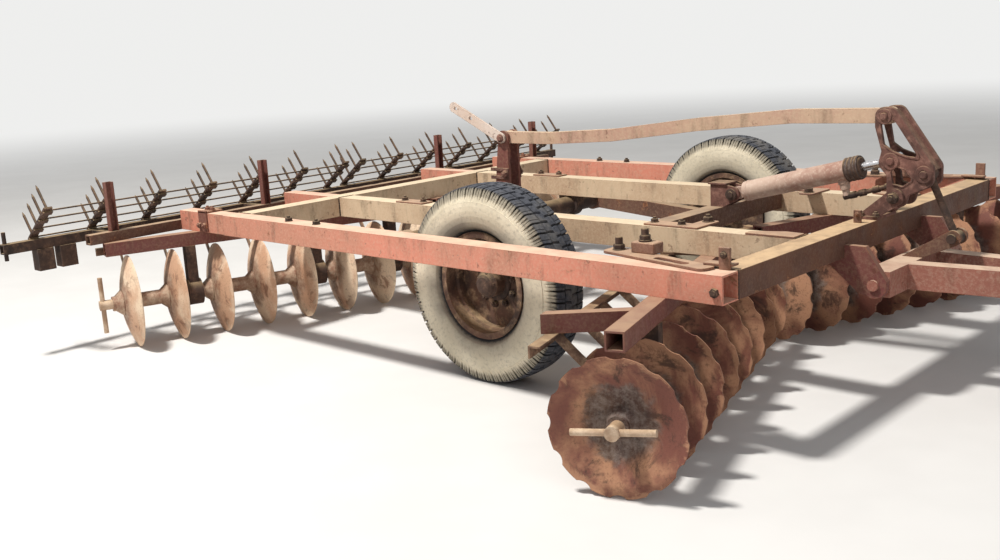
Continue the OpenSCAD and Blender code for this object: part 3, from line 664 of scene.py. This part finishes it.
def tyre(name, node, side):
    low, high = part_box(node)
    half = (high.y - low.y) / 2
    outline = [(half - inward, radius) for inward, radius in TYRE_SIDE] + TYRE_TREAD
    columns = outline + [(-y, radius) for y, radius in reversed(outline)]
    points = []
    for pitch in range(PITCHES):
        for phase in PHASES:
            for y, radius in columns:
                depth = groove_depth(phase, abs(y), radius)
                other_side = 0.5 if y < 0 else 0.0
                skew = 0.35 * (abs(y) - half) / half
                angle = 2 * math.pi * (pitch + phase + other_side + skew) / PITCHES
                if abs(y) > SHOULDER_Y:
                    beside = y - math.copysign(depth * 0.8, y)
                    reach = radius - depth * 0.45
                else:
                    beside = y
                    reach = radius - depth
                points.append((AXLE_X + reach * math.cos(angle), side * WHEEL_Y + beside,
                               WHEEL_R + reach * math.sin(angle)))
    rows = PITCHES * len(PHASES)
    count = len(columns)
    faces = []
    for i in range(rows):
        here = i * count
        there = (i + 1) % rows * count
        for c in range(count):
            after = (c + 1) % count
            faces.append((here + c, here + after, there + after, there + c))
    body = "wheel_right" if side < 0 else "wheel_left"
    piece = new_piece(name, points, faces, tyre_rubber(name + "_rubber", side), body)
    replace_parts(piece, node)


tyre("tread_right", "tyre_right", -1)
tyre("tread_left", "tyre_left", 1)


# Wheels: nuts, hub cap, hub flange and the cap's bolts

NUTS = 10
NUT_CIRCLE = 0.120
CAP_BOLTS = 5
CAP_CIRCLE = 0.055
# How far inward of the wheel's middle plane the nuts, the flange, the cap and its bolts stand
NUT_INWARD = 0.020
FLANGE_INWARD = 0.021
CAP_INWARD = -0.054
CAP_BOLT_INWARD = -0.061
CAP = [(0, 0.070), (0.004, 0.066), (0.010, 0.060), (0.022, 0.052), (0.030, 0.040), (0.034, 0.024)]
FLANGE = [(0, 0.098), (0.010, 0.096), (0.014, 0.090), (0.014, 0.072)]


def wheel_fittings(name, body, side):
    def on_wheel(radius, share, inward):
        """Place on a circle round the axle, at a share of a turn and inward of the wheel's middle."""
        angle = 2 * math.pi * share
        return Vector((AXLE_X + radius * math.cos(angle), side * (WHEEL_Y - inward),
                       WHEEL_R + radius * math.sin(angle)))

    outward = (0, side, 0)
    heap = Heap()
    for i in range(NUTS):
        heap.bolt(on_wheel(NUT_CIRCLE, (i + 0.3) / NUTS, NUT_INWARD), outward, 0.021)
    heap.turned(on_wheel(0, 0, CAP_INWARD), outward, CAP, 36)
    heap.turned(on_wheel(0, 0, FLANGE_INWARD), outward, FLANGE, 36)
    for i in range(CAP_BOLTS):
        place = on_wheel(CAP_CIRCLE, (i + 0.1) / CAP_BOLTS, CAP_BOLT_INWARD)
        heap.bolt(place, outward, 0.010, stud=False)
    heap.done(name, "dark", body, "rusty_rim")


wheel_fittings("wheel_nuts_right", "wheel_right", -1)
wheel_fittings("wheel_nuts_left", "wheel_left", 1)


# Cast lever: two webs with open windows, the rings and ends of its pins, and a front flange

LEVER_TOP_PIN = at(1555, 0, 1265)
LEVER_ROD_PIN = at(1590, 0, 1054)
LEVER_BOSS_PIN = at(1750, 0, 997)
# Inner and outer face of a web, from the middle plane
LEVER_IN = 0.041
LEVER_OUT = 0.061
LEVER_PIN_R = 0.016
PIVOT_HOLE_R = 0.0181
# Edge of the lever from its top eye down the back and up the front, and its windows, as
# rows of [ahead, up, corner radius] in millimetres from its pivot
LEVER_EDGE = [[-112, 424, 44], [-112, 330, 30], [-78, 215, 12], [-95, 150, 40], [-50, 100, 30],
              [-48, -46, 44], [44, -50, 40], [60, 10, 14], [175, 62, 44], [176, 150, 44],
              [-20, 426, 44]]
UPPER_WINDOW = [[-84, 346, 14], [-66, 248, 12], [-22, 217, 24], [40, 196, 18], [106, 188, 12],
                [-18, 366, 16]]
LOWER_WINDOW = [[-30, 120, 10], [-18, 62, 12], [28, 52, 12], [76, 84, 12], [40, 130, 12],
                [-2, 142, 12]]
# How much wider than its window a window's rim is, and how far the rim stands out
RIM_SCALE = 1.16
RIM_RISE = 0.0035
FLANGE_OFFSET = 0.034
FLANGE_PAST_PIN = 0.006
FLANGE_T = 0.010
FLANGE_HALF = 0.064


def lever_outline(rows):
    return rounded([(LEVER_PIVOT.x + x / 1000, LEVER_PIVOT.z + z / 1000, r / 1000) for x, z, r in rows])


def cast_lever():
    heap = Heap()
    edge = lever_outline(LEVER_EDGE)
    windows = [lever_outline(UPPER_WINDOW), lever_outline(LOWER_WINDOW)]
    pivot_hole = ring(LEVER_PIVOT.x, LEVER_PIVOT.z, PIVOT_HOLE_R)
    sunk = LEVER_OUT - 0.001
    for side in SIDES:
        low, high = sorted((side * LEVER_IN, side * LEVER_OUT))
        heap.plate([edge] + windows + [pivot_hole], low, high, 0.003)
        low, high = sorted((side * sunk, side * (LEVER_OUT + RIM_RISE)))
        for window in windows:
            middle = sum(window, Vector((0, 0))) / len(window)
            rim = [middle + (p - middle) * RIM_SCALE for p in window]
            heap.plate([rim, window], low, high, 0.001)
        outward = (0, side, 0)
        for pin, r in ((LEVER_TOP_PIN, 0.038), (LEVER_ROD_PIN, 0.041), (LEVER_BOSS_PIN, 0.042)):
            heap.turned((pin.x, side * sunk, pin.z), outward,
                        [(0, r), (0.006, r), (0.009, r - 0.003), (0.009, 0.022), (0.007, 0.020)], 32)
            heap.turned((pin.x, side * (LEVER_OUT + 0.004), pin.z), outward,
                        [(0, 0.019), (0.009, 0.019), (0.013, 0.015)], 24)
        # split pin through the end of the rod's pin
        split = Vector((LEVER_ROD_PIN.x, side * 0.0735, LEVER_ROD_PIN.z))
        size = Vector((0.017, 0.002, 0.0022))
        heap.block(split - size, split + size, 0.0005)
    inner_length = 2 * LEVER_IN + 0.004
    for pin in (LEVER_TOP_PIN, LEVER_ROD_PIN, LEVER_BOSS_PIN):
        heap.turned((pin.x, -LEVER_IN - 0.002, pin.z), (0, 1, 0),
                    [(0, LEVER_PIN_R), (inner_length, LEVER_PIN_R)], 24)
    # front flange from the top pin to the boss, which joins the two webs
    down = (LEVER_BOSS_PIN - LEVER_TOP_PIN).normalized()
    out = Vector((-down.z, 0, down.x))
    top = LEVER_TOP_PIN + out * FLANGE_OFFSET - down * FLANGE_PAST_PIN
    bottom = LEVER_BOSS_PIN + out * FLANGE_OFFSET + down * FLANGE_PAST_PIN
    flange = [Vector((p.x, p.z)) for p in (top, bottom, bottom + out * FLANGE_T, top + out * FLANGE_T)]
    heap.plate([flange], -FLANGE_HALF, FLANGE_HALF, 0.002)
    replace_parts(heap.done("cast_lever", "lever", "lever", "cast_lever"), "bell_crank")


cast_lever()


# Cylinder: distances run along it from the eye of its barrel

GLAND_RINGS = (0.642, 0.662, 0.684, 0.700)
GLAND_FACE = 0.7135
EYE_WELD = 0.075
PORT = 0.610
COUPLING_RISE = math.radians(16)
COUPLING_COLLARS = (0.014, 0.066, 0.138, 0.204)


def cylinder_fittings():
    """Gland rings, port block with its elbow and coupling, and the weld at the barrel's eye."""
    up = Vector((-CYLINDER_AXIS.z, 0, CYLINDER_AXIS.x))

    def along(distance):
        return BARREL_PIVOT + CYLINDER_AXIS * distance

    gland = Heap()
    for distance in GLAND_RINGS:
        gland.turned(along(distance), CYLINDER_AXIS,
                     [(0, 0.0575), (0.002, 0.0605), (0.007, 0.0605), (0.009, 0.0575)], 40)
    gland.turned(along(GLAND_FACE), CYLINDER_AXIS,
                 [(0, 0.050), (0.004, 0.050), (0.007, 0.044), (0.007, 0.026)], 40)
    gland.done("gland_rings", "dark", "barrel", "brown_paint")

    port = along(PORT) - up * 0.048
    block = Heap()
    block.turned(port + up * 0.006, -up, [(0, 0.030), (0.020, 0.030), (0.024, 0.026), (0.050, 0.024),
                                          (0.052, 0.018), (0.082, 0.018)], 20)
    block.turned(along(EYE_WELD), CYLINDER_AXIS,
                 [(0, 0.050), (0.004, 0.0545), (0.010, 0.0545), (0.013, 0.052)], 32)
    block.done("port_block", "barrel", "barrel", "faded_paint")

    elbow = port - up * 0.080
    away = Vector((math.cos(COUPLING_RISE), 0, math.sin(COUPLING_RISE)))
    coupling = Heap()
    coupling.turned(elbow - away * 0.018, away, [(0, 0.012), (0.002, 0.015), (0.030, 0.015),
                                                 (0.034, 0.012), (0.238, 0.012)], 16)
    for distance in COUPLING_COLLARS:
        coupling.turned(elbow + away * distance, away,
                        [(0, 0.012), (0.002, 0.0175), (0.034, 0.0175), (0.037, 0.012)], 12)
    coupling.done("coupling", "dark", "barrel", "chrome_rod")


cylinder_fittings()


# Frame trim: mounts, straps, lugs, bolts and weld beads, in the millimetres that at() takes

BEAM_TOP = 775
BEAM_BOTTOM = 655
HALF_BEAM = 60
OUTER_Y = 1440
INNER_Y = 640
FRONT_X = 1550
REAR_X = -1890
UP = (0, 0, 1)
PLATE_T = 10
# Rear ends of the plates on the inner beam, and where their bolts stand from there
PLATES_X = (-1240, 600)
PLATE_L = 230
PLATE_BOLTS = (35, 195)
STRAP_TOP = BEAM_TOP + 13
# Top of the block under the gang beam's outer stud
STUD_BLOCK_TOP = BEAM_TOP + 60
# Ear that stands on the corner, and the nut on it
EAR_Y = 1398
# Face of the lug on the front cross-beam
LUG_Y = 211
# Inner bolt of the gang beam, on a tab of the inner beam
INNER_BOLT = (870, 520)


def add_mounts(heap, side):
    # strap from the gang beam's mount to the outer beam, with its adjusting hole and slot
    heap.side_plate(side, [[846, 1240, 20], [1462, 1392, 30], [1440, 1478, 30], [846, 1350, 30]],
                    BEAM_TOP + 0.5, STRAP_TOP, hole=(905, 1296, 13),
                    slot=[[1150, 1352, 18], [1340, 1396, 18], [1330, 1432, 18], [1142, 1390, 18]])
    # corner plate on the strap, block under the stud, ear on the corner
    heap.side_plate(side, [[1400, 1352, 4], [1530, 1340, 4], [1530, 1392, 4], [1400, 1404, 4]],
                    STRAP_TOP + 1, STRAP_TOP + 11)
    heap.side_block(side, (990, 1254, STRAP_TOP - 1), (1110, 1330, STUD_BLOCK_TOP), 0.004)
    heap.side_block(side, (1470, EAR_Y - 14, BEAM_TOP), (1522, EAR_Y, BEAM_TOP + 92))
    # plates and tab on the inner beam
    heap.side_plate(side, [[1180, 700, 4], [1430, 700, 4], [1430, 600, 8], [1330, 590, 8], [1180, 650, 8]],
                    BEAM_TOP + 0.3, BEAM_TOP + PLATE_T)
    heap.side_plate(side, [[826, 480, 14], [914, 480, 14], [914, 690, 4], [826, 690, 4]],
                    BEAM_TOP + 0.3, BEAM_TOP + PLATE_T)
    for x in PLATES_X:
        heap.side_block(side, (x, INNER_Y - 48, BEAM_TOP + 0.3),
                        (x + PLATE_L, INNER_Y + 48, BEAM_TOP + PLATE_T))


def add_lug(heap, side):
    heap.side_block(side, (1478, LUG_Y - 12, BEAM_TOP), (1516, LUG_Y, BEAM_TOP + 62))
    heap.bolt(at(1497, side * LUG_Y, BEAM_TOP + 42), (0, side, 0), 0.012)


def add_bolts(heap, side):
    for x in PLATES_X:
        for step in PLATE_BOLTS:
            heap.bolt(at(x + step, side * INNER_Y, BEAM_TOP + PLATE_T), UP, 0.022)
    # studs that hold the gang beam: the outer one's nut stands on its washer
    for x, y, foot, washer in ((1040, 1292, STUD_BLOCK_TOP, 4), (905, 1300, STRAP_TOP, 0)):
        heap.turned(at(x, side * y, foot), UP, [(0, 0.028), (0.004, 0.028), (0.004, 0.017),
                                                (0.055, 0.017), (0.058, 0.014)], 16)
        heap.bolt(at(x, side * y, foot + washer), UP, 0.030, stud=False)
    for x in (-1310, -1060):
        heap.bolt(at(x, side * OUTER_Y, BEAM_TOP), UP, 0.024)
    # nut with an open end on the side of the outer beam
    side_face = OUTER_Y + HALF_BEAM
    heap.prism(at(1515, side * side_face, 705), (0, side, 0), 0.021, 0.014)
    heap.turned(at(1515, side * (side_face + 14), 705), (0, side, 0),
                [(0, 0.012), (0.006, 0.012), (0.006, 0.006)], 14)
    heap.bolt(at(1495, side * EAR_Y, BEAM_TOP + 62), (0, side, 0), 0.016)
    heap.bolt(at(INNER_BOLT[0], side * INNER_BOLT[1], BEAM_TOP + PLATE_T), UP, 0.030)


def add_welds(heap, side):
    """Beads where the cross-beams meet the beams that run along the machine."""
    low = BEAM_BOTTOM + 4
    high = BEAM_TOP - 4
    seam = side * (OUTER_Y - HALF_BEAM)
    for face, end in ((FRONT_X - 2 * HALF_BEAM, FRONT_X), (REAR_X + 2 * HALF_BEAM, REAR_X)):
        for y in (OUTER_Y - HALF_BEAM, INNER_Y + HALF_BEAM, INNER_Y - HALF_BEAM):
            heap.bead(at(face, side * y, low), at(face, side * y, high), 0.006)
        heap.bead(at(end, seam, low), at(end, seam, high), 0.0045)
        heap.bead(at(face, seam, BEAM_TOP), at(end, seam, BEAM_TOP), 0.0045)
        heap.bead(at(face, side * (INNER_Y - HALF_BEAM), BEAM_TOP),
                  at(face, side * (INNER_Y + HALF_BEAM), BEAM_TOP), 0.0045)


def frame_trim():
    mounts, lugs, bolts, welds = Heap(), Heap(), Heap(), Heap()
    for side in SIDES:
        add_mounts(mounts, side)
        add_lug(lugs, side)
        add_bolts(bolts, side)
        add_welds(welds, side)
    mounts.done("beam_mounts", "mount", "frame", "brown_paint")
    lugs.done("beam_lugs", "brown", "frame", "brown_paint")
    bolts.done("beam_bolts", "dark", "frame", "brown_paint")
    welds.done("frame_welds", "dark", "frame", "brown_paint", smooth=True)


frame_trim()


# Linkage trim: nuts, rims and heads on the pins of the brackets, mast and drawbar

MAST_PIN = at(-910, 0, 1110)
LUG_PIN = at(1886, 0, 703)
BRACKET_FOOT_TOP = BEAM_TOP + 15


def bracket_nuts():
    heap = Heap()
    for side in SIDES:
        heap.bolt(Vector((LEVER_PIVOT.x, side * 0.096, LEVER_PIVOT.z)), (0, side, 0), 0.030)
        for x in (1462, 1538):
            heap.bolt(at(x, side * 98, BRACKET_FOOT_TOP), UP, 0.020)
        heap.turned(Vector((BARREL_PIVOT.x, side * 0.056, BARREL_PIVOT.z)), (0, side, 0),
                    [(0, 0.028), (0.003, 0.031), (0.012, 0.031), (0.014, 0.018), (0.020, 0.016)], 28)
    heap.done("bracket_nuts", "dark", "frame", "brown_paint")


def mast_clamp():
    """Rims of the mast's pin, the right one past the lock bar, and the straps and bolt below."""
    heap = Heap()
    for side in SIDES:
        beside = 0.0735 if side < 0 else 0.0585
        heap.turned(Vector((MAST_PIN.x, side * beside, MAST_PIN.z)), (0, side, 0),
                    [(0, 0.024), (0.003, 0.026), (0.008, 0.026), (0.010, 0.015), (0.016, 0.014)], 28)
        for z in (850, 900):
            heap.side_block(side, (-1022, 53, z), (-868, 62, z + 22), 0.003)
        heap.bolt(at(-892, side * 62, 886), (0, side, 0), 0.026)
    heap.done("mast_clamp", "lever", "lift_axle", "cast_lever")


def lug_pin_heads():
    heap = Heap()
    for side in SIDES:
        heap.turned(Vector((LUG_PIN.x, side * 0.054, LUG_PIN.z)), (0, side, 0),
                    [(0, 0.022), (0.004, 0.024), (0.012, 0.022)], 24)
    heap.done("lug_pin_heads", "dark", "tongue", "brown_paint")


bracket_nuts()
mast_clamp()
lug_pin_heads()


# Stored tine sections: a clamp with two nuts where each tine stands on its bar

SECTION_FOOT = at(-2687.5, 0, 680.1)
SECTION_SLOPE = math.radians(37)
SECTION_ROWS = [20, 120, 220, 310]
SECTION_BARS = 7
BAR_PITCH = 370
FIRST_BAR_Y = 80
# Half length, half width and height of a clamp along, across and above its bar
CLAMP_SIZE = (0.017, 0.031, 0.013)
CLAMP_NUT_Y = 0.020
HALF_BAR_T = 0.006
CLAMP_FACE = 0.012


def section_clamps(name, side):
    ahead = Vector((math.cos(SECTION_SLOPE), 0, math.sin(SECTION_SLOPE)))
    up = Vector((-math.sin(SECTION_SLOPE), 0, math.cos(SECTION_SLOPE)))
    across = Vector((0, 1, 0))
    corners = [(-1, -1, 0), (1, -1, 0), (1, 1, 0), (-1, 1, 0),
               (-0.8, -0.85, 1), (0.8, -0.85, 1), (0.8, 0.85, 1), (-0.8, 0.85, 1)]
    faces = [[0, 3, 2, 1], [4, 5, 6, 7], [0, 1, 5, 4], [1, 2, 6, 5], [2, 3, 7, 6], [3, 0, 4, 7]]
    heap = Heap()
    for bar in range(SECTION_BARS):
        beside = side * (FIRST_BAR_Y + BAR_PITCH * bar) / 1000
        for row in SECTION_ROWS:
            foot = SECTION_FOOT + ahead * row / 1000 + across * beside + up * HALF_BAR_T
            heap.add([foot + ahead * a * CLAMP_SIZE[0] + across * b * CLAMP_SIZE[1] + up * c * CLAMP_SIZE[2]
                      for a, b, c in corners], faces)
            for y in (-CLAMP_NUT_Y, CLAMP_NUT_Y):
                heap.bolt(foot + across * y + up * CLAMP_FACE, up, 0.010)
    heap.done(name, "dark", "frame", "brown_paint")


section_clamps("section_clamps_right", -1)
section_clamps("section_clamps_left", 1)


# Clamps round the ends of the outer rear arms, each a plate on the side and one on top

ARM_OUT = OUTER_Y + 50
ARM_IN = OUTER_Y - 50
ARM_TOP = BEAM_TOP
CLAMP_REAR = -2150
CLAMP_FRONT = -2062
CLAMP_T = 12


def arm_clamps():
    heap = Heap()
    for side in SIDES:
        heap.side_block(side, (CLAMP_REAR, ARM_OUT, 660), (CLAMP_FRONT, ARM_OUT + CLAMP_T, 792), 0.003)
        heap.side_block(side, (CLAMP_REAR, ARM_IN - CLAMP_T, ARM_TOP),
                        (CLAMP_FRONT, ARM_OUT + CLAMP_T, ARM_TOP + CLAMP_T), 0.003)
        for x in (CLAMP_REAR + 18, CLAMP_FRONT - 18):
            heap.bolt(at(x, side * (ARM_OUT + CLAMP_T), 700), (0, side, 0), 0.020)
            heap.bolt(at(x, side * (ARM_IN + ARM_OUT) / 2, ARM_TOP + CLAMP_T), UP, 0.020)
    heap.done("arm_clamps", "maroon", "frame", "brown_paint")


arm_clamps()


# Floor, backdrop and light

BACKDROP = (0.86, 0.86, 0.85, 1)
FLOOR_HALF = 120
# The floor turns into the backdrop between these distances from the middle
FADE_START = 7
FADE_END = 26


def add_floor():
    net = Graph("floor")
    away = net.vector("LENGTH", net.place).outputs["Value"]
    pale = net.mix(net.ramp(net.noise(1.2, 3), 0.3, 0.7), (0.66, 0.65, 0.63, 1), (0.70, 0.69, 0.67, 1))
    net.link(pale, net.shader.inputs["Base Color"])
    net.shader.inputs["Roughness"].default_value = 0.95
    glow = net.new("ShaderNodeEmission")
    glow.inputs["Color"].default_value = BACKDROP
    fade = net.new("ShaderNodeMixShader")
    net.link(net.ramp(away, FADE_START, FADE_END), fade.inputs[0])
    net.link(net.shader.outputs[0], fade.inputs[1])
    net.link(glow.outputs[0], fade.inputs[2])
    net.link(fade.outputs[0], net.output.inputs[0])
    mesh = bpy.data.meshes.new("floor")
    mesh.from_pydata([(-FLOOR_HALF, -FLOOR_HALF, 0), (FLOOR_HALF, -FLOOR_HALF, 0),
                      (FLOOR_HALF, FLOOR_HALF, 0), (-FLOOR_HALF, FLOOR_HALF, 0)], [], [(0, 1, 2, 3)])
    mesh.materials.append(net.material)
    floor = bpy.data.objects.new("floor", mesh)
    bpy.context.scene.collection.objects.link(floor)
    # just below the wheels, so that it doesn't share their lowest points
    floor.location.z = -0.0005


def add_world():
    """Soft light all round, with the backdrop's colour where a ray sees the world itself."""
    world = bpy.data.worlds.new("studio")
    bpy.context.scene.world = world
    world.use_nodes = True
    nodes = world.node_tree.nodes
    links = world.node_tree.links
    nodes.clear()
    output = nodes.new("ShaderNodeOutputWorld")
    ambient = nodes.new("ShaderNodeBackground")
    ambient.inputs[0].default_value = (0.95, 0.97, 1.0, 1)
    ambient.inputs[1].default_value = 0.33
    seen = nodes.new("ShaderNodeBackground")
    seen.inputs[0].default_value = BACKDROP
    seen.inputs[1].default_value = 1.0
    path = nodes.new("ShaderNodeLightPath")
    camera_or_gloss = nodes.new("ShaderNodeMath")
    camera_or_gloss.operation = "MAXIMUM"
    any_sight = nodes.new("ShaderNodeMath")
    any_sight.operation = "MAXIMUM"
    mix = nodes.new("ShaderNodeMixShader")
    links.new(path.outputs["Is Camera Ray"], camera_or_gloss.inputs[0])
    links.new(path.outputs["Is Glossy Ray"], camera_or_gloss.inputs[1])
    links.new(camera_or_gloss.outputs[0], any_sight.inputs[0])
    links.new(path.outputs["Is Transmission Ray"], any_sight.inputs[1])
    links.new(any_sight.outputs[0], mix.inputs[0])
    links.new(ambient.outputs[0], mix.inputs[1])
    links.new(seen.outputs[0], mix.inputs[2])
    links.new(mix.outputs[0], output.inputs[0])


def add_lamp(name, place, target, size, power, colour):
    lamp = bpy.data.lights.new(name, "AREA")
    lamp.shape = "DISK"
    lamp.size = size
    lamp.energy = power
    lamp.color = colour
    holder = bpy.data.objects.new(name, lamp)
    bpy.context.scene.collection.objects.link(holder)
    holder.location = place
    holder.rotation_mode = "QUATERNION"
    holder.rotation_quaternion = (Vector(target) - Vector(place)).to_track_quat("-Z", "Y")


add_floor()
add_world()
add_lamp("key", (-2.9, -5.3, 11.3), (0, -0.3, 0.4), 1.3, 1950, (1.0, 0.97, 0.93))
add_lamp("fill", (8.5, -6.0, 5.0), (0.5, 0, 0.5), 6.0, 120, (0.95, 0.97, 1.0))

bpy.context.scene.view_settings.view_transform = "Standard"
